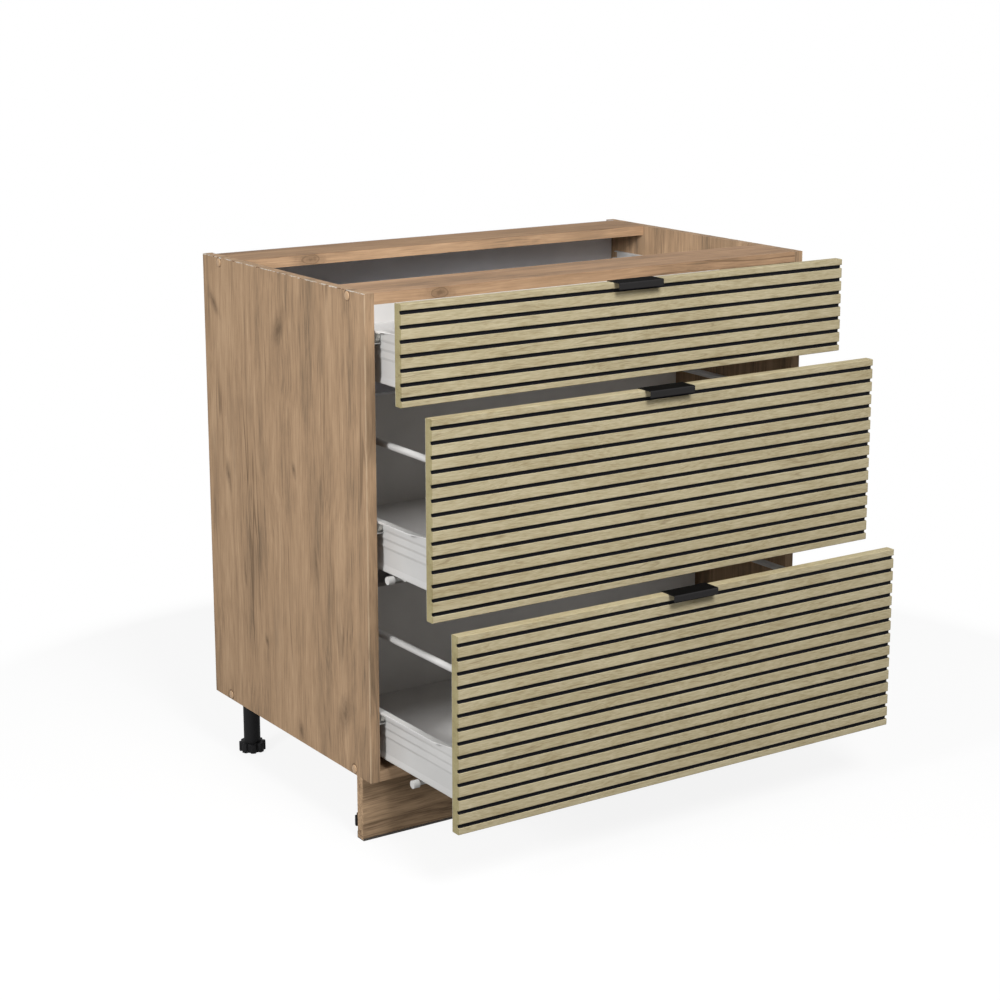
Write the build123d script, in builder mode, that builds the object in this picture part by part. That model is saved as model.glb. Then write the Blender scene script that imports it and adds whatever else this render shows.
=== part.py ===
"""Kitchen base cabinet with three drawers, each drawn out by its own length.

Millimetres. +Z is up, +X is to the right seen from the front and -Y points at the user.
The origin lies on the floor, under the centre of the whole object's box.
"""

import os

from build123d import *

os.makedirs("parts", exist_ok=True)

# ------------------------------------------------------------------ carcass
carcass_width = 800
carcass_depth = 500
carcass_height = 720
board = 16  # chipboard of the carcass, the plinth and the drawer boards
leg_height = 100  # floor to the carcass's underside
front_rail_depth = 98
rear_rail_depth = 90
back_sheet = 3
back_setback = 13  # board left behind the back's groove
back_groove_depth = 6
back_groove_play = 0.2  # each side of the back sheet in its groove
back_edge_play = 0.5  # from the sheet's edge to the groove's floor

# ------------------------------------------------------------------ screw covers on the carcass's sides
cap_row_front = 47  # behind the carcass's front edge
cap_row_rear = 55  # ahead of the carcass's rear edge
cap_radius = 6.5
cap_height = 1.6

# ------------------------------------------------------------------ legs and plinth
leg_from_side = 40
rear_leg_from_rear = 45
leg_tube_radius = 13.5
leg_bore_radius = 10.5
leg_bore_top = 12  # solid plastic above the bore
leg_plate_width = 60
leg_plate = 4
foot_grip_radius = 21.5
foot_grip_height = 17
foot_lobes = 8
foot_notch_width = 6
foot_notch_depth = 4
foot_lobe_bevel = 2.2
foot_stem_length = 42
foot_stem_play = 0.08  # radial, in the leg's bore
foot_stop_gap = 0.3  # from the grip's top to the leg tube's end
plinth_setback = 28  # plinth's face behind the carcass's front edge
plinth_end_gap = 2  # each end, short of the carcass's sides
plinth_top_gap = 1
seal_floor_gap = 0.4
seal_sheet = 1.2
seal_front_lip = 2
seal_rear_lip = 9
clip_reach = 18  # plinth's rear face to the leg tube
clip_wall = 3
clip_play = 0.1
clip_base_width = 46
clip_base = 3
clip_height = 16
clip_centre_height = 52

# ------------------------------------------------------------------ drawer fronts
front_board = 16
front_end_gap = 2  # each end, short of the carcass's sides
front_top_reveal = 2
front_bottom_reveal = 1
front_gap = 2  # between two fronts
top_front_height = 143
closed_gap = 2  # front's rear face to the carcass, drawer shut
slat_pitch = 20
slat_groove_width = 5
slat_groove_depth = 4
slat_least_edge = 10
edge_break = 0.8

# ------------------------------------------------------------------ handles
handle_width = 80
handle_reach = 14  # ahead of the front's face
handle_lip = 10
handle_tail = 18  # down the front's rear face
handle_bend = 1

# ------------------------------------------------------------------ drawer boxes
sheet = 1.2  # pressed steel of drawer sides, runners, brackets and handles
runner_room = 12.5  # carcass side to drawer side
side_length = 470
side_height = 76
side_foot_flange = 14  # inward, carries the bottom board
side_top_flange = 10.5  # outward, rides on the runner's roller
side_top_flange_front = 2.4
side_top_lip = 3
flange_taper_start = 72  # behind the front's rear face
flange_taper_end = 41
side_ridge = 1.2  # how far the ridges and the band over them stand out
side_ridge_count = 3
side_ridge_pitch = 12.5
side_ridge_drop = 12.5  # uppermost ridge below the flange's top
side_ridge_step = 4  # height of the step back under each ridge
side_skirt = 1.5  # outward sweep along the lower edge
side_skirt_height = 3.5
side_skirt_slope = 7
side_skirt_bevel = 1.2
tail_length = 22  # side's upper rear end behind the back board
tail_drop = 30  # depth of that end below the flange's top
top_side_lift = 16  # drawer side above its front's lower edge
deep_side_lift = 29
board_play = 0.3
back_below_side = 4  # shallow drawer's back below the side's top
railing_above_side = 105
back_above_railing = 12
railing_radius = 5
railing_inset = 15.5  # rod's axis inward of the side's outer face
holder_width = 18
holder_height = 26
holder_length = 9
holder_bevel = 4
bracket_length = 70
bracket_front_width = 24
bracket_cover_width = 22
bracket_cover_length = 80
bracket_play = 0.1
peg_behind_front = 130
peg_drop = 6  # peg's axis below the side's lower edge
peg_head_radius = 6
peg_head_length = 10
peg_head_gap = 1  # to the carcass's side
peg_stem = 5
peg_foot_length = 16
peg_foot_width = 15
peg_foot_drop = 10

# ------------------------------------------------------------------ runners
roller_radius = 8
roller_width = 6.5
roller_bore_play = 0.05
rolling_gap = 0.3
pin_radius = 2.5
pin_end = 0.4  # pin's end past its roller
runner_roller_gap = 2.5  # runner's web to its roller
side_roller_gap = 1.7  # drawer side to its roller
runner_set_in = 2  # runner's front end behind the carcass's edge
front_roller_set_in = 10
rear_roller_from_end = 12
runner_floor_width = 11
runner_lip_width = 7
runner_lip_gap = 1  # above the drawer's flange
runner_lip_start = 58
runner_end_play = 0.6
runner_stop_height = 3
runner_stop_length = 2
full_opening = 340

# ------------------------------------------------------------------ how far the drawers stand open
drawn_out = {"top": 78, "middle": 155, "bottom": 218}

# ------------------------------------------------------------------ places that follow
reach = max(drawn_out.values()) + front_board + handle_reach
front_y = (reach - carcass_depth) / 2
rear_y = front_y + carcass_depth
side_x = carcass_width / 2
inner_x = side_x - board
base_z = leg_height
top_z = base_z + carcass_height
back_rear_y = rear_y - back_setback
back_front_y = back_rear_y - back_sheet

leg_x = side_x - leg_from_side
plinth_front_y = front_y + plinth_setback
plinth_rear_y = plinth_front_y + board
front_leg_y = plinth_rear_y + clip_reach + leg_tube_radius
rear_leg_y = rear_y - rear_leg_from_rear
plinth_low_z = seal_floor_gap + seal_sheet
leg_low_z = foot_grip_height + foot_stop_gap

front_half_width = side_x - front_end_gap
fronts_height = carcass_height - front_top_reveal - front_bottom_reveal - 2 * front_gap
deep_front_height = (fronts_height - top_front_height) / 2
front_low_z = {"bottom": base_z + front_bottom_reveal}
front_low_z["middle"] = front_low_z["bottom"] + deep_front_height + front_gap
front_low_z["top"] = front_low_z["middle"] + deep_front_height + front_gap

wall_x = inner_x - runner_room  # drawer side's outer face between the ridges
ridge_x = wall_x + side_ridge
inside_x = wall_x - sheet - board_play  # ends of the boards between the sides
back_board_end = side_length - tail_length
back_board_start = back_board_end - board
roller_drop = sheet + rolling_gap + roller_radius  # axles below the flange's top
runner_floor_drop = roller_drop + roller_radius + rolling_gap
rear_roller_back = side_length - rear_roller_from_end
runner_start_y = front_y + runner_set_in
runner_end_y = front_y - closed_gap + rear_roller_back + roller_radius + runner_end_play + sheet
runner_stop_y = front_y - closed_gap - full_opening + rear_roller_back - roller_radius
railing_x = wall_x - railing_inset
peg_foot_x = wall_x - side_foot_flange - board_play

levels = ("top", "middle", "bottom")
deep_levels = ("middle", "bottom")
front_height = {
    "top": top_front_height,
    "middle": deep_front_height,
    "bottom": deep_front_height,
}
side_lift = {"top": top_side_lift, "middle": deep_side_lift, "bottom": deep_side_lift}
front_rear_y = {name: front_y - drawn_out[name] for name in levels}
side_low_z = {name: front_low_z[name] + side_lift[name] for name in levels}
side_top_z = {name: side_low_z[name] + side_height for name in levels}


# ------------------------------------------------------------------ helpers
def save(piece, name):
    """Label one finished piece and write it."""
    piece.part.label = name
    export_step(piece.part, f"parts/{name}.step")


def block(low, high, mode=Mode.ADD):
    """A rectangle sketched at the lower corner's height and pulled up to the higher one."""
    middle = ((low[0] + high[0]) / 2, (low[1] + high[1]) / 2)
    with BuildSketch(Plane.XY.offset(low[2])) as outline:
        with Locations(middle):
            Rectangle(high[0] - low[0], high[1] - low[1])
    extrude(outline.sketch, amount=high[2] - low[2], mode=mode)


def out_of_side(sign, x, y, z):
    """A plane at a point whose normal points out to the left (-1) or right (1)."""
    return Plane(origin=(sign * x, y, z), x_dir=(0, 1, 0), z_dir=(sign, 0, 0))


def both_sides(x, places):
    """Planes at (y, z) places on the left and on the right."""
    return [out_of_side(sign, x, y, z) for sign in (-1, 1) for y, z in places]


# ------------------------------------------------------------------ carcass boards
with BuildPart() as side_panel_left:
    block((-side_x, front_y, base_z), (-inner_x, rear_y, top_z))
    block(
        (-inner_x - back_groove_depth, back_front_y - back_groove_play, base_z),
        (-inner_x, back_rear_y + back_groove_play, top_z),
        mode=Mode.SUBTRACT,
    )
save(side_panel_left, "side_panel_left")

with BuildPart() as side_panel_right:
    mirror(side_panel_left.part, about=Plane.YZ)
save(side_panel_right, "side_panel_right")

with BuildPart() as bottom_panel:
    block((-inner_x, front_y, base_z), (inner_x, back_front_y, base_z + board))
save(bottom_panel, "bottom_panel")

with BuildPart() as front_rail:
    block((-inner_x, front_y, top_z - board), (inner_x, front_y + front_rail_depth, top_z))
save(front_rail, "front_rail")

with BuildPart() as rear_rail:
    block((-inner_x, back_front_y - rear_rail_depth, top_z - board), (inner_x, back_front_y, top_z))
save(rear_rail, "rear_rail")

back_half_width = inner_x + back_groove_depth - back_edge_play
with BuildPart() as back_panel:
    block((-back_half_width, back_front_y, base_z), (back_half_width, back_rear_y, top_z))
save(back_panel, "back_panel")

# ------------------------------------------------------------------ screw covers
cap_places = [
    (y, z)
    for y in (front_y + cap_row_front, rear_y - cap_row_rear)
    for z in (base_z + board / 2, top_z - board / 2)
]
with BuildPart() as screw_caps:
    with Locations(*both_sides(side_x, cap_places)):
        Cylinder(cap_radius, cap_height, align=(Align.CENTER, Align.CENTER, Align.MIN))
save(screw_caps, "screw_caps")

# ------------------------------------------------------------------ legs
leg_places = {
    "front_left": (-leg_x, front_leg_y),
    "front_right": (leg_x, front_leg_y),
    "rear_left": (-leg_x, rear_leg_y),
    "rear_right": (leg_x, rear_leg_y),
}

with BuildPart() as leg_shape:
    plate_low = base_z - leg_plate
    with BuildSketch(Plane.XY.offset(plate_low)):
        Rectangle(leg_plate_width, leg_plate_width)
    extrude(amount=leg_plate)
    with BuildSketch(Plane.XY.offset(plate_low)):
        Circle(leg_tube_radius)
    extrude(amount=leg_low_z - plate_low)
    with BuildSketch(Plane.XY.offset(leg_low_z)):
        Circle(leg_bore_radius)
    extrude(amount=base_z - leg_bore_top - leg_low_z, mode=Mode.SUBTRACT)

with BuildPart() as legs:
    with Locations(*[(x, y, 0) for x, y in leg_places.values()]):
        add(leg_shape.part)
save(legs, "legs")

with BuildPart() as foot_shape:
    with BuildSketch(Plane.XY) as grip:
        Circle(foot_grip_radius)
        with PolarLocations(foot_grip_radius, foot_lobes):
            Rectangle(2 * foot_notch_depth, foot_notch_width, mode=Mode.SUBTRACT)
        rings = grip.vertices().group_by(lambda corner: round(Vector(*corner).length, 3))
        chamfer(rings[-1], foot_lobe_bevel)
    extrude(amount=foot_grip_height)
    with BuildSketch(Plane.XY.offset(foot_grip_height)):
        Circle(leg_bore_radius - foot_stem_play)
    extrude(amount=foot_stem_length)

for corner, (foot_x, foot_y) in leg_places.items():
    with BuildPart() as foot:
        with Locations((foot_x, foot_y, 0)):
            add(foot_shape.part)
    save(foot, f"foot_{corner}")

# ------------------------------------------------------------------ plinth
plinth_half = side_x - plinth_end_gap
with BuildPart() as plinth_panel:
    block(
        (-plinth_half, plinth_front_y, plinth_low_z),
        (plinth_half, plinth_rear_y, base_z - plinth_top_gap),
    )
save(plinth_panel, "plinth_panel")

with BuildPart() as plinth_seal:
    with BuildSketch(Plane.YZ):
        with BuildLine():
            Polyline(
                (plinth_front_y, plinth_low_z + seal_front_lip),
                (plinth_front_y, plinth_low_z),
                (plinth_rear_y, plinth_low_z),
                (plinth_rear_y, plinth_low_z + seal_rear_lip),
            )
            offset(amount=seal_sheet, kind=Kind.INTERSECTION, side=Side.RIGHT)
        make_face()
    extrude(amount=plinth_half, both=True)
save(plinth_seal, "plinth_seal")

with BuildPart() as plinth_clips:
    fork_inner = leg_tube_radius + clip_play
    fork_outer = fork_inner + clip_wall
    with BuildSketch(Plane.XY.offset(clip_centre_height - clip_height / 2)):
        for clip_x in (-leg_x, leg_x):
            with Locations((clip_x, plinth_rear_y + clip_base / 2)):
                Rectangle(clip_base_width, clip_base)
            with Locations((clip_x, (plinth_rear_y + front_leg_y) / 2)):
                Rectangle(2 * fork_outer, front_leg_y - plinth_rear_y)
            with Locations((clip_x, front_leg_y)):
                Circle(fork_inner, mode=Mode.SUBTRACT)
    extrude(amount=clip_height)
save(plinth_clips, "plinth_clips")

# ------------------------------------------------------------------ rollers and their pins
with BuildPart() as roller_shape:
    with BuildSketch(Plane.XY):
        Circle(roller_radius)
        Circle(pin_radius + roller_bore_play, mode=Mode.SUBTRACT)
    extrude(amount=roller_width)


def pin(plane, roller_gap):
    """A riveted pin that stands on a plane and carries a roller that far above it."""
    with BuildSketch(plane) as section:
        Circle(pin_radius)
    extrude(section.sketch, amount=roller_gap + roller_width + pin_end)


web_x = inner_x - sheet  # runner web's inner face
runner_roller_x = web_x - runner_roller_gap
side_roller_x = wall_x + side_roller_gap
front_roller_y = front_y + front_roller_set_in

# ------------------------------------------------------------------ runners, one pair a drawer
with BuildPart() as runner_shape:
    with BuildSketch(Plane.XZ.offset(-runner_end_y)):
        with BuildLine():
            Polyline(
                (-inner_x + runner_lip_width, runner_lip_gap + sheet),
                (-inner_x, runner_lip_gap + sheet),
                (-inner_x, -runner_floor_drop - sheet),
                (-inner_x + runner_floor_width, -runner_floor_drop - sheet),
            )
            offset(amount=sheet, kind=Kind.INTERSECTION, side=Side.LEFT)
        make_face()
    extrude(amount=runner_end_y - runner_start_y)
    block(
        (-inner_x, runner_start_y, -sheet),
        (-inner_x + runner_lip_width, front_y + runner_lip_start, runner_lip_gap + sheet),
        mode=Mode.SUBTRACT,
    )
    block(
        (-web_x, runner_end_y - sheet, -runner_floor_drop),
        (-inner_x + runner_floor_width, runner_end_y, -roller_drop),
    )
    block(
        (-web_x, runner_stop_y - runner_stop_length, -runner_floor_drop),
        (-inner_x + runner_floor_width, runner_stop_y, -runner_floor_drop + runner_stop_height),
    )
    pin(out_of_side(1, -web_x, front_roller_y, -roller_drop), runner_roller_gap)

for level in levels:
    with BuildPart() as runner_left:
        with Locations((0, 0, side_top_z[level])):
            add(runner_shape.part)
    save(runner_left, f"runner_{level}_left")
    with BuildPart() as runner_right:
        mirror(runner_left.part, about=Plane.YZ)
    save(runner_right, f"runner_{level}_right")
    with BuildPart() as runner_rollers:
        roller_z = side_top_z[level] - roller_drop
        with Locations(
            out_of_side(1, -runner_roller_x, front_roller_y, roller_z),
            out_of_side(-1, -runner_roller_x, front_roller_y, roller_z),
        ):
            add(roller_shape.part)
    save(runner_rollers, f"runner_rollers_{level}")

# ------------------------------------------------------------------ drawer sides
# Drawn once, with y = 0 at the front board's rear face and z = 0 at the side's lower edge.
with BuildPart() as side_shape:
    with BuildSketch(Plane.XZ.offset(-side_length)):
        with BuildLine():
            skirt_x = -wall_x - side_skirt
            wall_points = [
                (-wall_x + side_foot_flange, 0),
                (skirt_x + side_skirt_bevel, 0),
                (skirt_x, side_skirt_bevel),
                (skirt_x, side_skirt_height),
                (-wall_x, side_skirt_height + side_skirt_slope),
            ]
            for row in reversed(range(side_ridge_count)):
                ridge_z = side_height - side_ridge_drop - row * side_ridge_pitch
                wall_points += [(-wall_x, ridge_z - side_ridge_step), (-ridge_x, ridge_z)]
            lip_x = -wall_x - side_top_flange + sheet
            wall_points += [
                (-ridge_x, side_height - sheet),
                (lip_x, side_height - sheet),
                (lip_x, side_height - side_top_lip),
            ]
            Polyline(*wall_points)
            offset(amount=sheet, kind=Kind.INTERSECTION, side=Side.RIGHT)
        make_face()
    extrude(amount=side_length)
    with BuildSketch(Plane.XY.offset(side_height)):
        with BuildLine():
            edge_x = -wall_x - side_top_flange
            edge_front_x = -wall_x - side_top_flange_front
            Polyline(
                (edge_x, flange_taper_start),
                (edge_front_x, flange_taper_end),
                (edge_front_x, 0),
                (edge_x, 0),
                close=True,
            )
        make_face()
    extrude(amount=-side_top_lip - 1, mode=Mode.SUBTRACT)
    block(
        (skirt_x - 1, back_board_end, -1),
        (-wall_x + side_foot_flange + 1, side_length + 1, side_height - tail_drop),
        mode=Mode.SUBTRACT,
    )
    pin(out_of_side(-1, wall_x, rear_roller_back, side_height - roller_drop), side_roller_gap)

# ------------------------------------------------------------------ front brackets, drawn the same way
with BuildPart() as bracket_shape:
    bracket_low = sheet + board + board_play
    with BuildSketch(Plane.XY.offset(bracket_low)):
        with BuildLine():
            Polyline(
                (-inside_x, bracket_length),
                (-inside_x, 0),
                (-inside_x + bracket_front_width, 0),
            )
            offset(amount=sheet, kind=Kind.INTERSECTION, side=Side.LEFT)
        make_face()
    extrude(amount=side_height - bracket_low)
    cover_out = -ridge_x + sheet + bracket_play
    cover_in = cover_out + bracket_cover_width
    with BuildSketch(Plane.XY.offset(side_height)):
        with BuildLine():
            sweep_in = Spline(
                (cover_in, 0),
                (-inside_x + sheet, bracket_cover_length),
                tangents=((-1, 6), (-1, 4)),
            )
            Polyline(sweep_in @ 1, (cover_out, bracket_cover_length), (cover_out, 0), sweep_in @ 0)
        make_face()
    extrude(amount=-sheet)

# ------------------------------------------------------------------ peg under a deep drawer's bottom
with BuildPart() as peg_shape:
    foot_in_x = -peg_foot_x + peg_foot_width
    with BuildSketch(out_of_side(1, -inner_x + peg_head_gap, 0, 0)):
        Circle(peg_head_radius)
    extrude(amount=peg_head_length)
    block(
        (-inner_x + peg_head_gap + peg_head_length, -peg_stem / 2, -peg_stem / 2),
        (foot_in_x, peg_stem / 2, peg_stem / 2),
    )
    block(
        (-peg_foot_x, -peg_foot_length / 2, peg_drop - peg_foot_drop),
        (foot_in_x, peg_foot_length / 2, peg_drop + sheet),
    )

# ------------------------------------------------------------------ handle
# y = 0 at the front board's rear face, z = 0 at its top edge.
with BuildPart() as handle_shape:
    with BuildSketch(Plane.YZ):
        with BuildLine():
            lip_y = sheet - front_board - handle_reach
            Line((0, -handle_tail), (0, 0))
            FilletPolyline((0, 0), (lip_y, 0), (lip_y, sheet - handle_lip), radius=handle_bend)
            offset(amount=sheet, side=Side.RIGHT)
        make_face()
    extrude(amount=handle_width / 2, both=True)

# ------------------------------------------------------------------ drawers
for level in levels:
    rear_face = front_rear_y[level]
    low_z = side_low_z[level]
    height = front_height[level]
    groove_count = int((height - 2 * slat_least_edge) // slat_pitch) + 1
    middle_z = front_low_z[level] + height / 2

    with BuildPart() as front:
        with BuildSketch(Plane.YZ) as comb:
            with Locations((rear_face - front_board / 2, middle_z)):
                Rectangle(front_board, height)
            with Locations((rear_face - front_board + slat_groove_depth / 2, middle_z)):
                with GridLocations(1, slat_pitch, 1, groove_count):
                    Rectangle(slat_groove_depth, slat_groove_width, mode=Mode.SUBTRACT)
            rows = comb.vertices().group_by(Axis.X)
            chamfer(rows[0] + rows[-1], edge_break)
        extrude(amount=front_half_width, both=True)
    save(front, f"front_{level}")

    with BuildPart() as handle:
        with Locations((0, rear_face, front_low_z[level] + height)):
            add(handle_shape.part)
    save(handle, f"handle_{level}")

    with BuildPart() as drawer_side_left:
        with Locations((0, rear_face, low_z)):
            add(side_shape.part)
    save(drawer_side_left, f"drawer_side_{level}_left")

    with BuildPart() as drawer_side_right:
        mirror(drawer_side_left.part, about=Plane.YZ)
    save(drawer_side_right, f"drawer_side_{level}_right")

    with BuildPart() as drawer_bottom:
        block(
            (-inside_x, rear_face, low_z + sheet),
            (inside_x, rear_face + back_board_end, low_z + sheet + board),
        )
    save(drawer_bottom, f"drawer_bottom_{level}")

    with BuildPart() as drawer_back:
        if level in deep_levels:
            back_top = side_top_z[level] + railing_above_side + back_above_railing
        else:
            back_top = side_top_z[level] - back_below_side
        block(
            (-inside_x, rear_face + back_board_start, low_z + sheet + board),
            (inside_x, rear_face + back_board_end, back_top),
        )
    save(drawer_back, f"drawer_back_{level}")

    with BuildPart() as front_brackets:
        with Locations((0, rear_face, low_z)):
            add(bracket_shape.part)
        mirror(about=Plane.YZ)
    save(front_brackets, f"front_brackets_{level}")

    with BuildPart() as drawer_rollers:
        axle_y = rear_face + rear_roller_back
        with Locations(*both_sides(side_roller_x, [(axle_y, side_top_z[level] - roller_drop)])):
            add(roller_shape.part)
    save(drawer_rollers, f"drawer_rollers_{level}")

    if level not in deep_levels:
        continue

    railing_z = side_top_z[level] + railing_above_side
    rear_end = rear_face + back_board_start
    with BuildPart() as railing_holders:
        with BuildSketch(
            Plane.XZ.offset(-rear_face - holder_length),
            Plane.XZ.offset(-rear_end),
        ) as holder_outline:
            with Locations((-railing_x, railing_z), (railing_x, railing_z)):
                Rectangle(holder_width, holder_height)
            chamfer(holder_outline.vertices(), holder_bevel)
        extrude(amount=holder_length)
    save(railing_holders, f"railing_holders_{level}")

    with BuildPart() as railings:
        with BuildSketch(Plane.XZ.offset(-rear_end + holder_length)):
            with Locations((-railing_x, railing_z), (railing_x, railing_z)):
                Circle(railing_radius)
        extrude(amount=back_board_start - 2 * holder_length)
    save(railings, f"railings_{level}")

    with BuildPart() as pegs:
        with Locations((0, rear_face + peg_behind_front, low_z - peg_drop)):
            add(peg_shape.part)
        mirror(about=Plane.YZ)
    save(pegs, f"bottom_pegs_{level}")
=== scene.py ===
"""Looks of a kitchen base cabinet with three drawers.

Metres, in the part's own frame: +Z up, -Y towards the user.
"""

import math

import bpy
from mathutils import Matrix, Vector


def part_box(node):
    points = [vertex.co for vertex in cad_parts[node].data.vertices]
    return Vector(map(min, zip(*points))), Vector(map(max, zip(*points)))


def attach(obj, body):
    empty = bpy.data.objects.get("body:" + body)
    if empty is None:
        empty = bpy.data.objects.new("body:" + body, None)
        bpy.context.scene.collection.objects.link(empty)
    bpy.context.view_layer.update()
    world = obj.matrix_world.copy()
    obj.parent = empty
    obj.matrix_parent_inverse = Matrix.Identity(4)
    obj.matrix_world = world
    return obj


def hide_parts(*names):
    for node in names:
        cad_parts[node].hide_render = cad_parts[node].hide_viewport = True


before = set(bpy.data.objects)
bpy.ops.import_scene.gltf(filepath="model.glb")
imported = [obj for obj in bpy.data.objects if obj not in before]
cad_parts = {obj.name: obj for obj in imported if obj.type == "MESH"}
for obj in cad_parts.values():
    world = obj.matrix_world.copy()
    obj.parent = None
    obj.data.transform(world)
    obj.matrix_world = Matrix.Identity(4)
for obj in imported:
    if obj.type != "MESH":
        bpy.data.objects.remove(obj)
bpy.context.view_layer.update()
bpy.ops.object.select_all(action="DESELECT")

LEVELS = ("top", "middle", "bottom")
SIDES = {"left": -1, "right": 1}
CORNERS = [f"{row}_{side}" for row in ("front", "rear") for side in SIDES]
SIDE_FACE = 0.400  # x of a side board's outer face
SCREW_ROWS = {"low": 0.108, "high": 0.812}  # heights of the screws into the bottom board and into the rails
SCREW_COVERS = [  # on each side board, as (name, y, z)
    (f"{row}_{storey}", y, z)
    for row, y in (("front", -0.079), ("rear", 0.319))
    for storey, z in SCREW_ROWS.items()
]


# ---------------------------------------------------------------- laying out shader nodes
def put(tree, kind, inputs=None, **settings):
    """A new shader node. Each input is a value or the socket that feeds it."""
    made = tree.nodes.new(kind)
    for name, value in settings.items():
        setattr(made, name, value)
    for name, value in (inputs or {}).items():
        if isinstance(value, bpy.types.NodeSocket):
            tree.links.new(value, made.inputs[name])
        else:
            made.inputs[name].default_value = value
    return made


def calc(tree, operation, first, second=0.0, clamp=False):
    made = put(tree, "ShaderNodeMath", {0: first, 1: second}, operation=operation, use_clamp=clamp)
    return made.outputs[0]


def fade(tree, value, start, end, curve="SMOOTHSTEP"):
    """0 up to start and 1 from end on, or the other way round where start is the larger."""
    lo, hi, out = (start, end, (0.0, 1.0)) if start < end else (end, start, (1.0, 0.0))
    made = put(
        tree,
        "ShaderNodeMapRange",
        {"Value": value, "From Min": lo, "From Max": hi, "To Min": out[0], "To Max": out[1]},
        interpolation_type=curve,
    )
    return made.outputs["Result"]


def drawn_out(tree, vector, along, shift=(0.0, 0.0, 0.0)):
    """The vector with what follows it drawn out along Z: the smaller along is, the longer."""
    return put(tree, "ShaderNodeMapping", {0: vector, 1: shift, 3: (1.0, 1.0, along)}).outputs[0]


def swing(tree, value, strength):
    """A 0 to 1 value as a swing about 0."""
    return calc(tree, "MULTIPLY", calc(tree, "SUBTRACT", value, 0.5), strength)


def blend_colour(tree, factor, first, second, mode="MIX"):
    made = put(tree, "ShaderNodeMix", data_type="RGBA", blend_type=mode)
    for socket, value in ((made.inputs[0], factor), (made.inputs[6], first), (made.inputs[7], second)):
        if isinstance(value, bpy.types.NodeSocket):
            tree.links.new(value, socket)
        else:
            socket.default_value = value
    return made.outputs[2]


def lay_over(tree, shown, mask, share, tone):
    """What is shown with a tone laid over it, by that share where the mask is 1."""
    return blend_colour(tree, calc(tree, "MULTIPLY", mask, share), shown, tone)


def tint_where(tree, shown, mask, tint):
    """What is shown, multiplied by the tint where the mask is 1."""
    return blend_colour(tree, mask, shown, blend_colour(tree, 1.0, shown, (*tint, 1), "MULTIPLY"))


def noise(tree, vector, scale, detail=2.0, roughness=0.5):
    settings = {"Vector": vector, "Scale": scale, "Detail": detail, "Roughness": roughness}
    return put(tree, "ShaderNodeTexNoise", settings).outputs[0]


def colour(red, green, blue):
    """A colour written as on screen, 0 to 255, as the shader's linear values."""
    linear = [((c / 255 + 0.055) / 1.055) ** 2.4 if c > 10 else c / 255 / 12.92 for c in (red, green, blue)]
    return (*linear, 1.0)


def grey(level):
    """An even grey as the shader's linear values."""
    return (level, level, level, 1.0)


def new_group(name, inputs, outputs):
    """A node group with its sockets, as (tree, group input node, group output node)."""
    tree = bpy.data.node_groups.new(name, "ShaderNodeTree")
    kinds = {"value": "NodeSocketFloat", "vector": "NodeSocketVector", "colour": "NodeSocketColor"}
    for direction, sockets in (("INPUT", inputs), ("OUTPUT", outputs)):
        for socket_name, kind in sockets.items():
            tree.interface.new_socket(socket_name, in_out=direction, socket_type=kinds[kind])
    return tree, tree.nodes.new("NodeGroupInput"), tree.nodes.new("NodeGroupOutput")


def use_group(tree, group, **inputs):
    """Places a group. Input names have underscores in place of blanks."""
    made = tree.nodes.new("ShaderNodeGroup")
    made.node_tree = group
    for name, value in inputs.items():
        socket = made.inputs[name.replace("_", " ")]
        if isinstance(value, bpy.types.NodeSocket):
            tree.links.new(value, socket)
        else:
            socket.default_value = value
    return made


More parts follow.
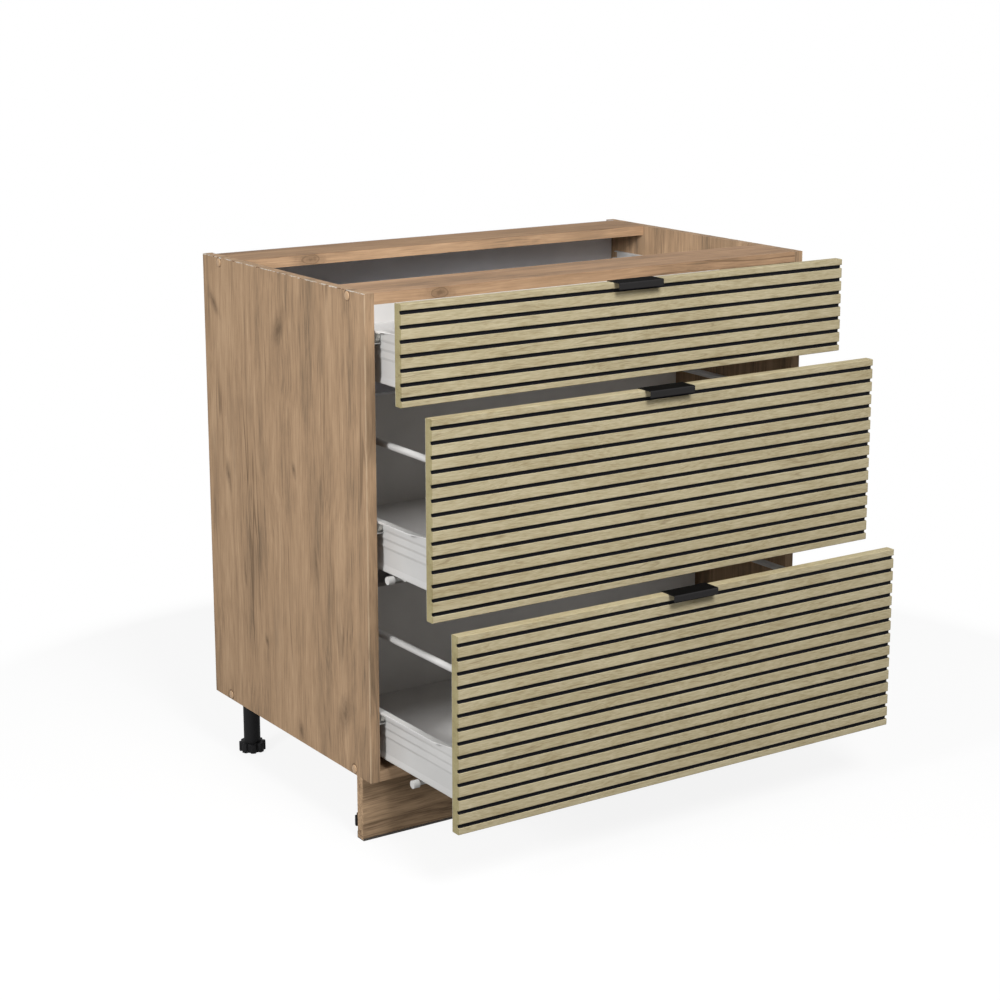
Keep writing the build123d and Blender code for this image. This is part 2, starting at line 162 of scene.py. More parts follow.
# ---------------------------------------------------------------- shared effects
def make_wood_grain():
    """Printed oak with the grain along the vector's Z.

    Bands, streaks, patches and fibres swing the tone, clouds dim it, and thin dark lines run through it.
    """
    tree, given, out = new_group(
        "wood_grain",
        {
            "Vector": "vector",
            "Light": "colour",
            "Middle": "colour",
            "Dark": "colour",
            "Band scale": "value",
            "Band strength": "value",
            "Fibre strength": "value",
            "Line strength": "value",
        },
        {"Colour": "colour", "Relief": "value"},
    )
    vector = given.outputs["Vector"]
    band_strength = given.outputs["Band strength"]
    wander = swing(tree, noise(tree, drawn_out(tree, vector, 0.4), 7.0), 0.03)
    shifted = put(tree, "ShaderNodeCombineXYZ", {0: wander, 1: wander})
    warped = put(tree, "ShaderNodeVectorMath", {0: vector, 1: shifted.outputs[0]}).outputs[0]

    def layer(along, fineness, detail, roughness=0.5, shift=(0.0, 0.0, 0.0)):
        """Noise drawn out along the grain, that many times as fine as the bands."""
        scale = calc(tree, "MULTIPLY", given.outputs["Band scale"], fineness)
        return noise(tree, drawn_out(tree, warped, along, shift), scale, detail, roughness)

    bands = layer(0.10, 1.0, 3.0, 0.55)
    streaks = layer(0.05, 5.0, 3.0, 0.6)
    fibres = layer(0.035, 30.0, 2.0, 0.6)
    clouds = layer(0.22, 1.4, 4.0, 0.6, (5, 1, 3))
    patches = layer(0.3, 2.0, 5.0, 0.7, (2, 8, 6))
    line = layer(0.03, 2.4, 1.0, shift=(3, 7, 1))
    line_place = layer(0.3, 0.9, 1.0, shift=(9, 2, 4))
    off_line = calc(tree, "ABSOLUTE", calc(tree, "SUBTRACT", line, 0.5))
    lines = calc(tree, "MULTIPLY", fade(tree, off_line, 0.02, 0.003), fade(tree, line_place, 0.52, 0.66))
    lines = calc(tree, "MULTIPLY", lines, given.outputs["Line strength"], clamp=True)
    tone = swing(tree, bands, calc(tree, "MULTIPLY", band_strength, 1.6))
    for swung, strength in (
        (streaks, band_strength),
        (patches, band_strength),
        (fibres, given.outputs["Fibre strength"]),
    ):
        tone = calc(tree, "ADD", tone, swing(tree, swung, strength))
    bright = fade(tree, tone, 0.0, 0.6, "LINEAR")
    smoke = calc(tree, "MULTIPLY", fade(tree, clouds, 0.52, 0.80), calc(tree, "MULTIPLY", band_strength, 0.5))
    dim = calc(tree, "MAXIMUM", fade(tree, tone, 0.0, -0.6, "LINEAR"), smoke)
    base = blend_colour(tree, bright, given.outputs["Middle"], given.outputs["Light"])
    base = blend_colour(tree, dim, base, given.outputs["Dark"])
    darker = blend_colour(tree, 1.0, given.outputs["Dark"], (0.62, 0.58, 0.55, 1), "MULTIPLY")
    tree.links.new(blend_colour(tree, lines, base, darker), out.inputs["Colour"])
    relief = calc(tree, "SUBTRACT", calc(tree, "MULTIPLY", fibres, 0.6), lines)
    tree.links.new(relief, out.inputs["Relief"])
    return tree


def make_knot():
    """One knot at Centre, the grain along Z: a dark heart, thin rings and a soft shade drawn out round it."""
    tree, given, out = new_group(
        "knot",
        {
            "Vector": "vector",
            "Centre": "vector",
            "Size": "value",
            "Length": "value",
            "Lean": "value",
            "Rings": "value",
        },
        {"Shade": "value", "Heart": "value"},
    )
    vector, centre = given.outputs["Vector"], given.outputs["Centre"]
    off = put(tree, "ShaderNodeVectorMath", {0: vector, 1: centre}, operation="SUBTRACT")
    rough = noise(tree, drawn_out(tree, vector, 0.5), 75.0, 4.0, 0.65)
    x, y, z = put(tree, "ShaderNodeSeparateXYZ", {0: off.outputs[0]}).outputs
    leaning_y = calc(tree, "SUBTRACT", y, calc(tree, "MULTIPLY", z, given.outputs["Lean"]))
    shortened_z = calc(tree, "DIVIDE", z, given.outputs["Length"])
    round_place = put(tree, "ShaderNodeCombineXYZ", {0: x, 1: leaning_y, 2: shortened_z}).outputs[0]
    distance = put(tree, "ShaderNodeVectorMath", {0: round_place}, operation="LENGTH").outputs["Value"]
    share = calc(tree, "DIVIDE", distance, given.outputs["Size"])
    wavy_share = calc(tree, "ADD", share, swing(tree, rough, 1.0))
    ring_wave = calc(tree, "SINE", calc(tree, "MULTIPLY", wavy_share, 7.0))
    share = calc(tree, "ADD", share, swing(tree, rough, 2.8))
    rings = calc(tree, "MULTIPLY", fade(tree, ring_wave, 0.45, 0.95), fade(tree, share, 2.2, 0.9))
    rings = calc(tree, "MULTIPLY", rings, given.outputs["Rings"])
    tree.links.new(fade(tree, share, 3.0, 0.2), out.inputs["Shade"])
    tree.links.new(calc(tree, "MAXIMUM", fade(tree, share, 0.75, 0.1), rings), out.inputs["Heart"])
    return tree


def make_surface_speckle():
    """Fine unevenness of a coat or a moulding, and a broad soft change of gloss."""
    tree, given, out = new_group(
        "surface_speckle",
        {"Vector": "vector", "Scale": "value"},
        {"Relief": "value", "Gloss": "value"},
    )
    fine = noise(tree, given.outputs["Vector"], given.outputs["Scale"], 3.0, 0.6)
    broad = noise(tree, given.outputs["Vector"], 11.0, 2.0, 0.5)
    tree.links.new(fine, out.inputs["Relief"])
    tree.links.new(broad, out.inputs["Gloss"])
    return tree


wood_grain = make_wood_grain()
knot = make_knot()
surface_speckle = make_surface_speckle()


# ---------------------------------------------------------------- finishes
def new_finish(name):
    """A material as (material, tree, its shader, object coordinates)."""
    material = bpy.data.materials.new(name)
    material.use_nodes = True
    tree = material.node_tree
    shader = tree.nodes["Principled BSDF"]
    place = put(tree, "ShaderNodeTexCoord").outputs["Object"]
    return material, tree, shader, place


def raise_relief(tree, shader, height, distance, strength=1.0):
    bump = put(tree, "ShaderNodeBump", {"Height": height, "Distance": distance, "Strength": strength})
    tree.links.new(bump.outputs[0], shader.inputs["Normal"])


def set_roughness(tree, shader, value, low, high):
    made = put(tree, "ShaderNodeMapRange", {"Value": value, "To Min": low, "To Max": high})
    tree.links.new(made.outputs[0], shader.inputs["Roughness"])


OAK = ((188, 158, 127), (167, 138, 109), (124, 105, 85))  # light, middle and dark of the oak print
# painted light: the oak print made lighter on the plinth, for the shade it stands in under the drawers
PLINTH_OAK_PAINTED_LIGHTER = ((204, 173, 140), (180, 151, 120), (124, 102, 80))
KNOT_SHADE, KNOT_HEART = colour(116, 96, 76), colour(92, 74, 58)
LITTLE_SHINE = 0.12  # of the oak print, boards and slats alike


def oak_finish(name, grain_turn, shift, knots=(), tones=OAK, edges=(), rings=1.0):
    """Dark oak decor on chipboard, as (material, tree, its shader, object coordinates, its colour).

    grain_turn lays the grain along the board, and shift picks a stretch of the print.
    knots are (centre, size, length, lean), and rings is how clear their rings are.
    edges are (axis, at, sign, tint): faces whose place on that axis is past at are multiplied by the tint, as
    light and shade painted by which way each face turns.
    """
    material, tree, shader, place = new_finish(name)
    turned = put(tree, "ShaderNodeMapping", {0: place, 1: shift, 2: grain_turn}).outputs[0]
    grain = use_group(
        tree,
        wood_grain,
        Vector=turned,
        Light=colour(*tones[0]),
        Middle=colour(*tones[1]),
        Dark=colour(*tones[2]),
        Band_scale=15.0,
        Band_strength=1.15,
        Fibre_strength=1.5,
        Line_strength=0.6,
    )
    shown = grain.outputs["Colour"]
    for centre, size, length, lean in knots:
        spot = use_group(
            tree,
            knot,
            Vector=place,
            Centre=centre,
            Size=size,
            Length=length,
            Lean=lean,
            Rings=rings,
        )
        shown = lay_over(tree, shown, spot.outputs["Shade"], 0.62, KNOT_SHADE)
        shown = lay_over(tree, shown, spot.outputs["Heart"], 0.45, KNOT_HEART)
    xyz = put(tree, "ShaderNodeSeparateXYZ", {0: place})
    # painted light and shade: the faces given in edges are tinted by which way they turn
    for axis, at, sign, tint in edges:
        past = calc(tree, "GREATER_THAN" if sign > 0 else "LESS_THAN", xyz.outputs[axis], at)
        shown = tint_where(tree, shown, past, tint)
    tree.links.new(shown, shader.inputs["Base Color"])
    shader.inputs["Specular IOR Level"].default_value = LITTLE_SHINE
    set_roughness(tree, shader, grain.outputs["Relief"], 0.74, 0.62)
    raise_relief(tree, shader, grain.outputs["Relief"], 0.00012, 0.6)
    return material, tree, shader, place, shown


ALONG_Z = (0.0, 0.0, 0.0)
ALONG_X = (0.0, math.radians(90), 0.0)


SIDE_KNOTS = [  # on the left board, as (y, z, size, length, lean)
    (0.342, 0.748, 0.0060, 1.8, 0.8),
    (0.129, 0.736, 0.0085, 2.0, -0.45),
    (0.306, 0.478, 0.0045, 2.8, 0.2),
    (0.090, 0.528, 0.0034, 1.8, 0.3),
    (-0.054, 0.187, 0.0100, 1.7, -0.3),
    (0.083, 0.117, 0.0045, 2.2, 0.2),
    (0.026, 0.398, 0.0022, 7.0, 0.1),
    (-0.051, 0.298, 0.0020, 8.0, -0.1),
    (0.257, 0.327, 0.0022, 6.0, 0.1),
    (0.189, 0.234, 0.0030, 1.6, 0.3),
]
SIDE_KNOTS_MIDDLE = 0.125  # y about which they lie the other way round on the right board
EDGE_HIGHLIGHT_REACH = 0.0016  # how far the painted highlight along a board's edge reaches


def side_board_finish(side):
    """A side board: upright grain, painted shade round its covers, a painted highlight broken by dark chips
    along its outer top edge, and a painted highlight along its front edge.
    """
    sign = SIDES[side]
    lo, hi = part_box(f"side_panel_{side}")
    knots = [
        ((sign * SIDE_FACE, y if sign < 0 else 2 * SIDE_KNOTS_MIDDLE - y, z), size, length, -sign * lean)
        for y, z, size, length, lean in SIDE_KNOTS
    ]
    material, tree, shader, place, shown = oak_finish(
        f"oak_side_board_{side}",
        ALONG_Z,
        (0.3 if sign < 0 else 1.7, 0.1, 0.0),
        knots,
        rings=0.25,
    )
    x, y, z = put(tree, "ShaderNodeSeparateXYZ", {0: place}).outputs
    # painted shade: a dark ring round each screw cover stands in for the shadow in the gap round it
    for _, cover_y, cover_z in SCREW_COVERS:
        across = calc(tree, "SUBTRACT", y, cover_y)
        up = calc(tree, "SUBTRACT", z, cover_z + 0.0008)
        off = put(tree, "ShaderNodeCombineXYZ", {0: across, 1: up}).outputs[0]
        distance = put(tree, "ShaderNodeVectorMath", {0: off}, operation="LENGTH").outputs["Value"]
        shown = lay_over(tree, shown, fade(tree, distance, 0.0095, 0.0065), 0.75, colour(96, 76, 58))
    outer = lo.x if sign < 0 else hi.x
    from_outer = calc(tree, "ABSOLUTE", calc(tree, "SUBTRACT", x, outer))
    from_top = calc(tree, "ABSOLUTE", calc(tree, "SUBTRACT", z, hi.z))
    from_front = calc(tree, "SUBTRACT", y, lo.y)
    at_face = calc(tree, "LESS_THAN", from_outer, EDGE_HIGHLIGHT_REACH)
    # painted highlight along the outer top edge: a pale ragged line, broken by dark chips
    ragged = calc(tree, "ADD", 0.0008, swing(tree, noise(tree, place, 90.0, 3.0), 0.005))
    top_edge = calc(tree, "MULTIPLY", at_face, calc(tree, "LESS_THAN", from_top, ragged))
    chips = noise(tree, place, 65.0, 4.0, 0.7)
    shown = lay_over(tree, shown, top_edge, fade(tree, chips, 0.46, 0.53), colour(206, 198, 186))
    shown = lay_over(tree, shown, top_edge, fade(tree, chips, 0.44, 0.38), colour(104, 72, 50))
    # painted highlight along the outer front edge, broken here and there
    front_edge = calc(tree, "MULTIPLY", at_face, calc(tree, "LESS_THAN", from_front, EDGE_HIGHLIGHT_REACH))
    broken = fade(tree, noise(tree, drawn_out(tree, place, 0.1), 190.0), 0.3, 0.6)
    shown = lay_over(tree, shown, calc(tree, "MULTIPLY", front_edge, broken), 0.7, colour(204, 178, 148))
    tree.links.new(shown, shader.inputs["Base Color"])
    return material


GROOVE_LIP = 0.0006  # depth under a front's face at which its grooves turn dark
GROOVE_REACH = 0.0044  # depth just past the grooves' floor
FACE_REACH = 0.0005  # a face counts as the front's end or top within this distance


def slatted_finish(level):
    """Light oak slats along X over near-black grooves, and a plain pale back."""
    lo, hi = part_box(f"front_{level}")
    material, tree, shader, place = new_finish(f"slatted_oak_{level}")
    print_place = (LEVELS.index(level) * 0.7, 0.4, 0.9)
    turned = put(tree, "ShaderNodeMapping", {0: place, 1: print_place, 2: ALONG_X}).outputs[0]
    grain = use_group(
        tree,
        wood_grain,
        Vector=drawn_out(tree, turned, 1.6),
        Light=colour(197, 186, 155),
        Middle=colour(181, 169, 137),
        Dark=colour(155, 140, 106),
        Band_scale=34.0,
        Band_strength=0.7,
        Fibre_strength=2.0,
        Line_strength=0.35,
    )
    x, y, z = put(tree, "ShaderNodeSeparateXYZ", {0: place}).outputs
    depth = calc(tree, "SUBTRACT", y, lo.y)
    from_middle_x = calc(tree, "ABSOLUTE", x)
    from_middle_z = calc(tree, "ABSOLUTE", calc(tree, "SUBTRACT", z, (lo.z + hi.z) / 2))
    groove = calc(tree, "GREATER_THAN", depth, GROOVE_LIP)
    for value, limit in (
        (depth, GROOVE_REACH),
        (from_middle_x, hi.x - 0.0009),
        (from_middle_z, (hi.z - lo.z) / 2 - 0.0014),
    ):
        groove = calc(tree, "MULTIPLY", groove, calc(tree, "LESS_THAN", value, limit))
    end = calc(tree, "GREATER_THAN", from_middle_x, hi.x - FACE_REACH)
    top = calc(tree, "GREATER_THAN", z, hi.z - FACE_REACH)
    behind = calc(tree, "GREATER_THAN", y, hi.y - 0.0003)
    # painted shade: the front's end faces are darker and yellower, its top faces a little darker
    shown = tint_where(tree, grain.outputs["Colour"], end, (0.75, 0.755, 0.645))
    shown = tint_where(tree, shown, top, (0.97, 0.97, 0.95))
    shown = blend_colour(tree, behind, shown, colour(205, 203, 198))
    shown = blend_colour(tree, groove, shown, colour(25, 25, 29))
    tree.links.new(shown, shader.inputs["Base Color"])
    shader.inputs["Specular IOR Level"].default_value = LITTLE_SHINE
    set_roughness(tree, shader, grain.outputs["Relief"], 0.72, 0.60)
    raise_relief(tree, shader, grain.outputs["Relief"], 0.0001, 0.5)
    return material


def coated_finish(name, tone, rough, speckle_scale, relief, metallic=0.0, shine=0.4, painted_top_tint=None):
    """A painted, moulded or laminated surface: one tone, fine unevenness and a soft change of gloss.

    The last argument is (height, tint): over that height the tone is multiplied by the tint, which paints a
    highlight where it is over 1 and shade where it is under 1.
    """
    material, tree, shader, place = new_finish(name)
    speckle = use_group(tree, surface_speckle, Vector=place, Scale=speckle_scale)
    darker = tuple(c * 0.93 for c in tone[:3]) + (1.0,)
    shown = blend_colour(tree, fade(tree, speckle.outputs["Gloss"], 0.35, 0.65), tone, darker)
    # painted light or shade on the top faces, by the tint given
    if painted_top_tint is not None:
        height = put(tree, "ShaderNodeSeparateXYZ", {0: place}).outputs[2]
        high = calc(tree, "GREATER_THAN", height, painted_top_tint[0])
        tinted = put(tree, "ShaderNodeVectorMath", {0: shown, 1: (painted_top_tint[1],) * 3}, operation="MULTIPLY")
        shown = blend_colour(tree, high, shown, tinted.outputs[0])
    tree.links.new(shown, shader.inputs["Base Color"])
    set_roughness(tree, shader, speckle.outputs["Gloss"], rough - 0.05, rough + 0.05)
    shader.inputs["Metallic"].default_value = metallic
    shader.inputs["Specular IOR Level"].default_value = shine
    raise_relief(tree, shader, speckle.outputs["Relief"], relief)
    return material


# painted light: the rails' front faces are tinted warmer, the rear rail's also lighter, and their top faces
# darker
oak_rail_board = oak_finish(
    "oak_rail_board",
    ALONG_X,
    (0.2, 0.9, 0.3),
    [((-0.276, -0.126, 0.812), 0.013, 0.45, 0.0)],
    edges=[(1, -0.1255, -1, (1.02, 0.97, 0.94)), (2, 0.8195, 1, (0.94, 0.89, 0.87))],
)[0]
oak_rear_rail_board = oak_finish(
    "oak_rear_rail_board",
    ALONG_X,
    (0.8, 0.1, 0.6),
    [((-0.266, 0.268, 0.812), 0.013, 0.45, 0.0)],
    edges=[(1, 0.2685, -1, (1.11, 1.07, 1.05)), (2, 0.8195, 1, (0.82, 0.77, 0.73))],
)[0]
oak_bottom_board = oak_finish("oak_bottom_board", ALONG_X, (1.3, 0.5, 0.2))[0]
oak_plinth_board = oak_finish("oak_plinth_board", ALONG_X, (0.1, 0.2, 1.1), tones=PLINTH_OAK_PAINTED_LIGHTER)[0]
slatted_oak = {level: slatted_finish(level) for level in LEVELS}
white_laminate = coated_finish("white_laminate", colour(222, 220, 218), 0.5, 900.0, 0.00004)
pale_hardboard = coated_finish("pale_hardboard", colour(226, 227, 232), 0.6, 700.0, 0.00006)
POWDER_WHITE = (colour(203, 202, 200), 0.33, 1300.0, 0.00003)  # tone, roughness, speckle scale and relief
white_powder_coat = coated_finish("white_powder_coat", *POWDER_WHITE)
drawer_side_coat_lit_top = {  # painted highlight: the top of each side's flange is brighter
    level: coated_finish(
        f"drawer_side_coat_lit_top_{level}",
        *POWDER_WHITE,
        painted_top_tint=(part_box(f"drawer_side_{level}_left")[1].z - 0.0009, 1.36),
    )
    for level in LEVELS
}
white_moulding = coated_finish("white_moulding", colour(206, 205, 202), 0.42, 800.0, 0.00003)
roller_nylon = coated_finish("roller_nylon", colour(216, 214, 206), 0.45, 800.0, 0.00003)
black_steel_shaded_top = {  # painted shade: the top of each handle is darker
    level: coated_finish(
        f"black_steel_shaded_top_{level}",
        colour(47, 46, 46),
        0.85,
        1500.0,
        0.00003,
        shine=0.02,
        painted_top_tint=(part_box(f"handle_{level}")[1].z - 0.0003, 0.12),
    )
    for level in LEVELS
}
black_moulding = coated_finish("black_moulding", colour(27, 27, 28), 0.65, 900.0, 0.00005, shine=0.15)
dark_edge_seal = coated_finish("dark_edge_seal", colour(62, 56, 50), 0.6, 900.0, 0.00003)
wood_brown_cap = coated_finish("wood_brown_cap", colour(182, 150, 116), 0.45, 700.0, 0.00004)
zinc_plate = coated_finish("zinc_plate", colour(178, 178, 174), 0.32, 1200.0, 0.00003, metallic=1.0)
side_board = {side: side_board_finish(side) for side in SIDES}


def finish_for(node):
    """The finish of a carried-over node."""
    if node.startswith("side_panel"):
        return side_board[node.rsplit("_", 1)[1]]
    if node.startswith("drawer_side"):
        return drawer_side_coat_lit_top[node.split("_")[2]]
    for start, material in (
        ("front_rail", oak_rail_board),
        ("rear_rail", oak_rear_rail_board),
        ("bottom_panel", oak_bottom_board),
        ("plinth_panel", oak_plinth_board),
        ("plinth_seal", dark_edge_seal),
        ("plinth_clips", black_moulding),
        ("back_panel", pale_hardboard),
        ("legs", black_moulding),
        ("foot", black_moulding),
        ("screw_caps", wood_brown_cap),
        ("drawer_bottom", white_laminate),
        ("drawer_back", white_laminate),
        ("drawer_rollers", roller_nylon),
        ("front_brackets", white_powder_coat),
        ("runner_rollers", roller_nylon),
        ("runner", white_powder_coat),
        ("railing_holders", white_moulding),
        ("railings", white_powder_coat),
        ("bottom_pegs", white_moulding),
    ):
        if node.startswith(start):
            return material
    by_level = black_steel_shaded_top if node.startswith("handle") else slatted_oak
    return by_level[node.rsplit("_", 1)[1]]


for node_name, node_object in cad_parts.items():
    for material_slot in node_object.material_slots:
        material_slot.material = finish_for(node_name)


# ---------------------------------------------------------------- modelling by hand
def select_where(test):
    """In edit mode, selects the vertices whose place passes the test, and what lies between them."""
    bpy.ops.object.mode_set(mode="OBJECT")
    mesh = bpy.context.object.data
    for part in (mesh.vertices, mesh.edges, mesh.polygons):
        part.foreach_set("select", [False] * len(part))
    chosen = [test(vertex.co) for vertex in mesh.vertices]
    mesh.vertices.foreach_set("select", chosen)
    mesh.edges.foreach_set("select", [all(chosen[v] for v in edge.vertices) for edge in mesh.edges])
    mesh.polygons.foreach_set("select", [all(chosen[v] for v in face.vertices) for face in mesh.polygons])
    bpy.ops.object.mode_set(mode="EDIT")


def drum(name, sides, radius, low, high):
    """A round blank about Z, between two heights, ready to be shaped in edit mode."""
    bpy.ops.object.select_all(action="DESELECT")
    bpy.ops.mesh.primitive_cylinder_add(
        vertices=sides, radius=radius, depth=high - low, location=(0, 0, (low + high) / 2)
    )
    made = bpy.context.object
    made.name = name
    bpy.ops.object.transform_apply(location=True, rotation=True, scale=True)
    bpy.ops.object.mode_set(mode="EDIT")
    bpy.ops.mesh.select_mode(type="VERT")
    return made


def at_height(co, height):
    return abs(co.z - height) < 1e-6


def grow_end(steps):
    """Grows a drum's end face on from the first (radius, height), which is its own, through the others."""
    for (radius, height), (next_radius, next_height) in zip(steps, steps[1:]):
        select_where(lambda co: at_height(co, height) and co.xy.length < radius * 1.001)
        bpy.ops.mesh.extrude_region_move(TRANSFORM_OT_translate={"value": (0, 0, next_height - height)})
        ratio = next_radius / radius
        bpy.ops.transform.resize(value=(ratio, ratio, 1), center_override=(0, 0, next_height))


def off_nearest(co, pitch):
    """The turn from a place about Z to the nearest multiple of the pitch."""
    return (math.atan2(co.y, co.x) + pitch / 2) % pitch - pitch / 2


def smooth_off(angle):
    """Leaves edit mode and smooths the faces that meet under that many degrees."""
    bpy.ops.object.mode_set(mode="OBJECT")
    bpy.ops.object.shade_smooth_by_angle(angle=math.radians(angle))


def round_edges(made, width, segments, angle):
    """Leaves edit mode and rounds the edges that turn more than that many degrees."""
    bpy.ops.object.mode_set(mode="OBJECT")
    bevel = made.modifiers.new("rounded_edges", "BEVEL")
    bevel.width = width
    bevel.segments = segments
    bevel.limit_method = "ANGLE"
    bevel.angle_limit = math.radians(angle)
    bpy.ops.object.modifier_apply(modifier=bevel.name)


def lay_copy(pattern, name, at, facing, body, material, replaced=()):
    """A copy of a piece modelled about Z, with its own mesh, its foot at a point and its Z facing a way."""
    made = pattern.copy()
    made.data = pattern.data.copy()
    made.name = name
    bpy.context.collection.objects.link(made)
    bpy.ops.object.select_all(action="DESELECT")
    made.select_set(True)
    bpy.context.view_layer.objects.active = made
    made.rotation_mode = "QUATERNION"
    made.rotation_quaternion = Vector(facing).to_track_quat("Z", "Y")
    made.location = at
    bpy.ops.object.transform_apply(location=True, rotation=True, scale=True)
    made.data.materials.clear()
    made.data.materials.append(material)
    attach(made, body)
    if replaced:
        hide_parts(*replaced)
    return made


def model_screw_cover():
    """A push-in screw cover: a low dome with a short upright rim."""
    rim_radius, rim_height = 0.0065, 0.0005
    made = drum("screw_cover_pattern", 32, rim_radius, 0.0, rim_height)
    dome = [(0.0062, 0.0009), (0.0052, 0.00128), (0.0036, 0.0015), (0.0016, 0.0016)]
    grow_end([(rim_radius, rim_height), *dome])
    smooth_off(60)
    return made


def model_foot_grip():
    """A levelling foot's grip: a disc with eight notches in its rim, and rounded edges."""
    top = 0.017
    made = drum("foot_pattern", 64, 0.0215, 0.002, top)
    notch_pitch, notch_half = math.radians(360 / 8), math.radians(7)
    select_where(lambda co: abs(off_nearest(co, notch_pitch)) < notch_half)
    bpy.ops.transform.resize(value=(0.82, 0.82, 1), center_override=(0, 0, 0))
    select_where(lambda co: at_height(co, top))
    bpy.ops.mesh.inset(thickness=0.0008)
    round_edges(made, 0.0014, 2, 24)
    smooth_off(40)
    return made


def model_foot_stem():
    """A levelling foot's neck through the grip, and the plain stem over it that slides in the leg."""
    neck_radius, neck_top = 0.0088, 0.0155
    stem_radius, stem_top = 0.01042, 0.058
    made = drum("foot_stem_pattern", 40, neck_radius, 0.0, neck_top)
    grow_end([(neck_radius, neck_top), (stem_radius, 0.0165), (stem_radius, stem_top), (0.0094, 0.059)])
    smooth_off(35)
    return made


def model_screw_head(name, radius, height):
    """A low round head with a cross recess, standing on z = 0."""
    rim_height = height * 0.55
    made = drum(name, 16, radius, 0.0, rim_height)
    grow_end([(radius, rim_height), (radius * 0.8, height), (radius * 0.5, height)])
    quarter = math.radians(90)

    def on_recess(co):
        return at_height(co, height) and co.xy.length < radius * 0.55

    def between_arms(co):
        return on_recess(co) and abs(abs(off_nearest(co, quarter)) - quarter / 2) < 0.1

    select_where(between_arms)
    bpy.ops.transform.resize(value=(0.35, 0.35, 1), center_override=(0, 0, 0))
    select_where(on_recess)
    bpy.ops.mesh.extrude_region_move(TRANSFORM_OT_translate={"value": (0, 0, -height * 0.6)})
    bpy.ops.transform.resize(value=(0.7, 0.7, 1), center_override=(0, 0, 0))
    smooth_off(25)
    return made


def remove_pattern(pattern):
    bpy.data.objects.remove(pattern, do_unlink=True)


# ---------------------------------------------------------------- screw covers on the sides
screw_cover = model_screw_cover()
for side, sign in SIDES.items():
    for cover_name, y, z in SCREW_COVERS:
        lay_copy(
            screw_cover,
            f"screw_cover_{side}_{cover_name}",
            (sign * SIDE_FACE, y, z),
            (sign, 0, 0),
            "carcass",
            wood_brown_cap,
            ["screw_caps"],
        )
remove_pattern(screw_cover)


# ---------------------------------------------------------------- levelling feet
def foot_place(corner):
    """Where a levelling foot stands, as (x, y)."""
    lo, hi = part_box(f"foot_{corner}")
    centre = (lo + hi) / 2
    return centre.x, centre.y


foot_grip, foot_stem = model_foot_grip(), model_foot_stem()
for corner in CORNERS:
    for pattern, name in ((foot_grip, "grip"), (foot_stem, "stem")):
        lay_copy(
            pattern,
            f"foot_{name}_{corner}",
            (*foot_place(corner), 0.0),
            (0, 0, 1),
            f"foot_{corner}",
            black_moulding,
            [f"foot_{corner}"],
        )
remove_pattern(foot_grip)
remove_pattern(foot_stem)

# ---------------------------------------------------------------- screws
HANDLE_SCREW_X, HANDLE_SCREW_UP = 0.032, 0.008  # off the handle's middle, and over its lower edge
RUNNER_WEB_X = 0.3828  # inner face of a runner's web
RUNNER_SCREWS_Y = (-0.080, 0.101, 0.300)
LEG_PLATE_UNDERSIDE, LEG_SCREW_OFF = 0.096, 0.0225
BRACKET_SCREW_X, BRACKET_SHEET = 0.356, 0.0012
BRACKET_SCREWS_UP = (0.014, 0.042)
BACK_SCREWS, BACK_SCREW_FIRST, BACK_SCREW_PITCH = 6, -0.35, 0.14  # in each row

flush_head = model_screw_head("flush_head_pattern", 0.0038, 0.0004)
raised_head = model_screw_head("raised_head_pattern", 0.0036, 0.0018)


def lay_screw(head, name, at, facing, body):
    lay_copy(head, name, at, facing, body, zinc_plate)


for level in LEVELS:
    lo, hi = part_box(f"handle_{level}")
    for side, sign in SIDES.items():
        at = (sign * HANDLE_SCREW_X, hi.y, lo.z + HANDLE_SCREW_UP)
        lay_screw(flush_head, f"handle_screw_{level}_{side}", at, (0, 1, 0), f"drawer_{level}")
    lo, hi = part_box(f"runner_{level}_left")
    for side, sign in SIDES.items():
        for number, y in enumerate(RUNNER_SCREWS_Y):
            at = (sign * RUNNER_WEB_X, y, (lo.z + hi.z) / 2)
            lay_screw(flush_head, f"runner_screw_{level}_{side}_{number}", at, (-sign, 0, 0), "carcass")
for corner in CORNERS:
    x, y = foot_place(corner)
    for number, (dx, dy) in enumerate(((-1, -1), (1, -1), (1, 1), (-1, 1))):
        at = (x + dx * LEG_SCREW_OFF, y + dy * LEG_SCREW_OFF, LEG_PLATE_UNDERSIDE)
        lay_screw(raised_head, f"leg_screw_{corner}_{number}", at, (0, 0, -1), "carcass")
for level in LEVELS:
    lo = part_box(f"front_brackets_{level}")[0]
    for side, sign in SIDES.items():
        for number, up in enumerate(BRACKET_SCREWS_UP):
            at = (sign * BRACKET_SCREW_X, lo.y + BRACKET_SHEET, lo.z + up)
            lay_screw(flush_head, f"bracket_screw_{level}_{side}_{number}", at, (0, 1, 0), f"drawer_{level}")
back_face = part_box("back_panel")[1].y
for storey, z in SCREW_ROWS.items():
    for number in range(BACK_SCREWS):
        at = (BACK_SCREW_FIRST + number * BACK_SCREW_PITCH, back_face, z)
        lay_screw(flush_head, f"back_screw_{storey}_{number}", at, (0, 1, 0), "carcass")
remove_pattern(flush_head)
remove_pattern(raised_head)


# ---------------------------------------------------------------- floor, light and camera
FLOOR_WHITE = 0.88  # share of the floor's own white seen by the camera; the rest is lit and keeps the shadow
FLOOR_BOUNCE = 0.18  # how much light the floor sends on
WORLD_LIGHT = 0.29  # the even light on the object
OBJECT_MIDDLE = (0, 0, 0.45)
CAMERA_PLACE = (-1.9113, -2.7318, 1.2886)
CAMERA_DOWN, CAMERA_TURN = 0.23447, -0.58805  # radians under the level, and about Z


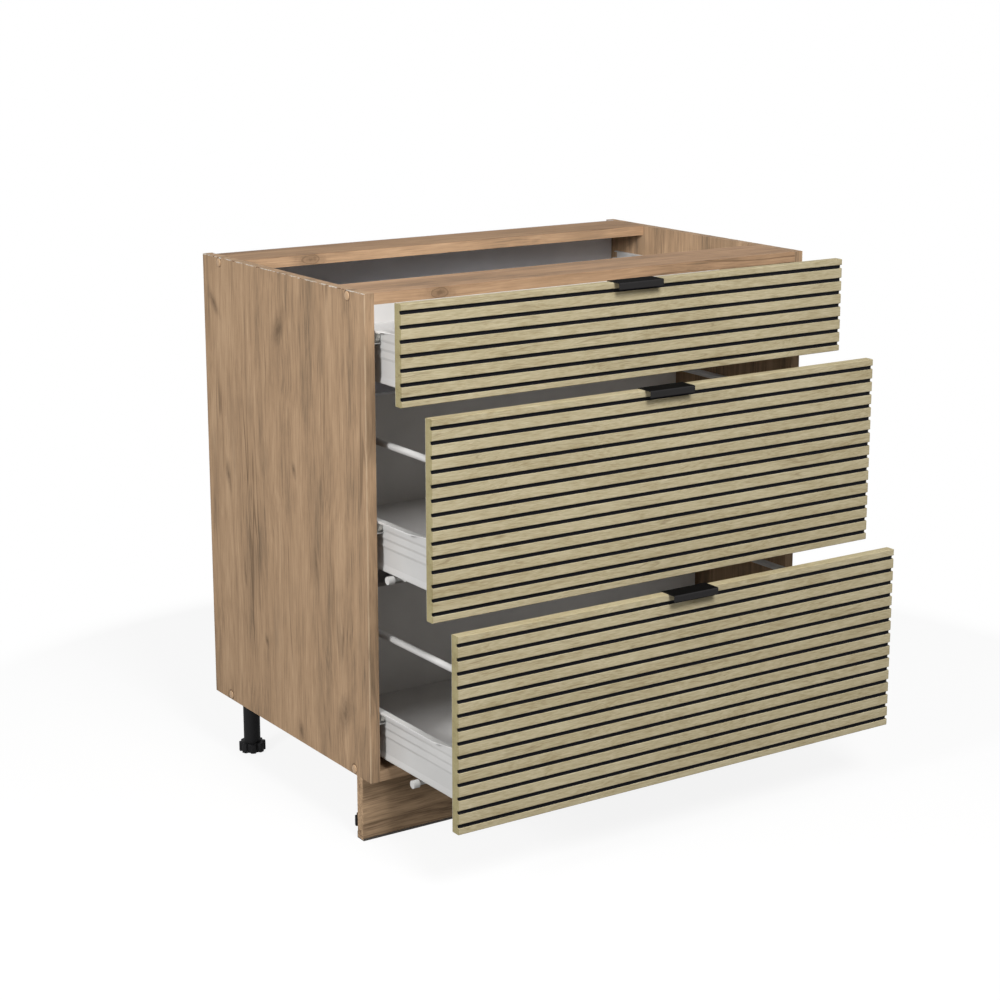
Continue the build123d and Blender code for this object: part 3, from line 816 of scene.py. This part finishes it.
def seen_directly(tree):
    """1 for rays from the camera, also by way of gloss or glass, and 0 for light that is sent on."""
    rays = put(tree, "ShaderNodeLightPath")
    seen = calc(tree, "MAXIMUM", rays.outputs["Is Camera Ray"], rays.outputs["Is Glossy Ray"])
    return calc(tree, "MAXIMUM", seen, rays.outputs["Is Transmission Ray"])


def make_floor():
    """A plain floor, white to the eye, that sends little light up and runs out into the white behind."""
    bpy.ops.object.select_all(action="DESELECT")
    bpy.ops.mesh.primitive_plane_add(size=40, location=(0, 0, 0))
    floor = bpy.context.object
    floor.name = "floor"
    material, tree, shader, place = new_finish("pale_floor")
    seen = seen_directly(tree)
    tone = blend_colour(tree, seen, grey(FLOOR_BOUNCE), grey(0.95))
    tree.links.new(tone, shader.inputs["Base Color"])
    shader.inputs["Roughness"].default_value = 0.9
    shader.inputs["Specular IOR Level"].default_value = 0.0
    white = put(tree, "ShaderNodeEmission", {"Color": (1, 1, 1, 1), "Strength": 1.0})
    distance = put(tree, "ShaderNodeVectorMath", {0: place}, operation="LENGTH").outputs["Value"]
    own_white = calc(tree, "MAXIMUM", fade(tree, distance, 0.7, 1.2), FLOOR_WHITE)
    share = calc(tree, "MULTIPLY", seen, own_white)
    mixed = put(tree, "ShaderNodeMixShader", {0: share, 1: shader.outputs[0], 2: white.outputs[0]})
    tree.links.new(mixed.outputs[0], tree.nodes["Material Output"].inputs["Surface"])
    floor.data.materials.append(material)


def make_world():
    """White behind the object, and an even dim light on it."""
    world = bpy.data.worlds.new("studio")
    bpy.context.scene.world = world
    world.use_nodes = True
    tree = world.node_tree
    backdrop = tree.nodes["Background"]
    tone = blend_colour(tree, seen_directly(tree), grey(WORLD_LIGHT), grey(1.0))
    tree.links.new(tone, backdrop.inputs["Color"])


def add_soft_lamp(name, at, size, power):
    """A round soft lamp aimed at the middle of the object."""
    lamp = bpy.data.lights.new(name, "AREA")
    lamp.shape, lamp.size, lamp.energy = "DISK", size, power
    holder = bpy.data.objects.new(name, lamp)
    bpy.context.collection.objects.link(holder)
    holder.location = at
    holder.rotation_euler = (Vector(OBJECT_MIDDLE) - Vector(at)).to_track_quat("-Z", "Y").to_euler()


def add_camera():
    """The photograph's view: from the front left, looking slightly down."""
    camera = bpy.data.cameras.new("camera")
    camera.lens, camera.sensor_width, camera.shift_y = 79.03, 36.0, -0.03
    camera.clip_start, camera.clip_end = 0.1, 100
    holder = bpy.data.objects.new("camera", camera)
    bpy.context.collection.objects.link(holder)
    holder.location = CAMERA_PLACE
    holder.rotation_euler = (math.radians(90) - CAMERA_DOWN, 0.0, CAMERA_TURN)
    bpy.context.scene.camera = holder


make_floor()
make_world()
add_soft_lamp("key_lamp", (-0.55, -3.0, 3.3), size=1.5, power=138)
add_soft_lamp("side_lamp", (-2.8, -0.8, 1.46), size=0.8, power=55)
add_camera()
bpy.context.scene.view_settings.view_transform = "Standard"
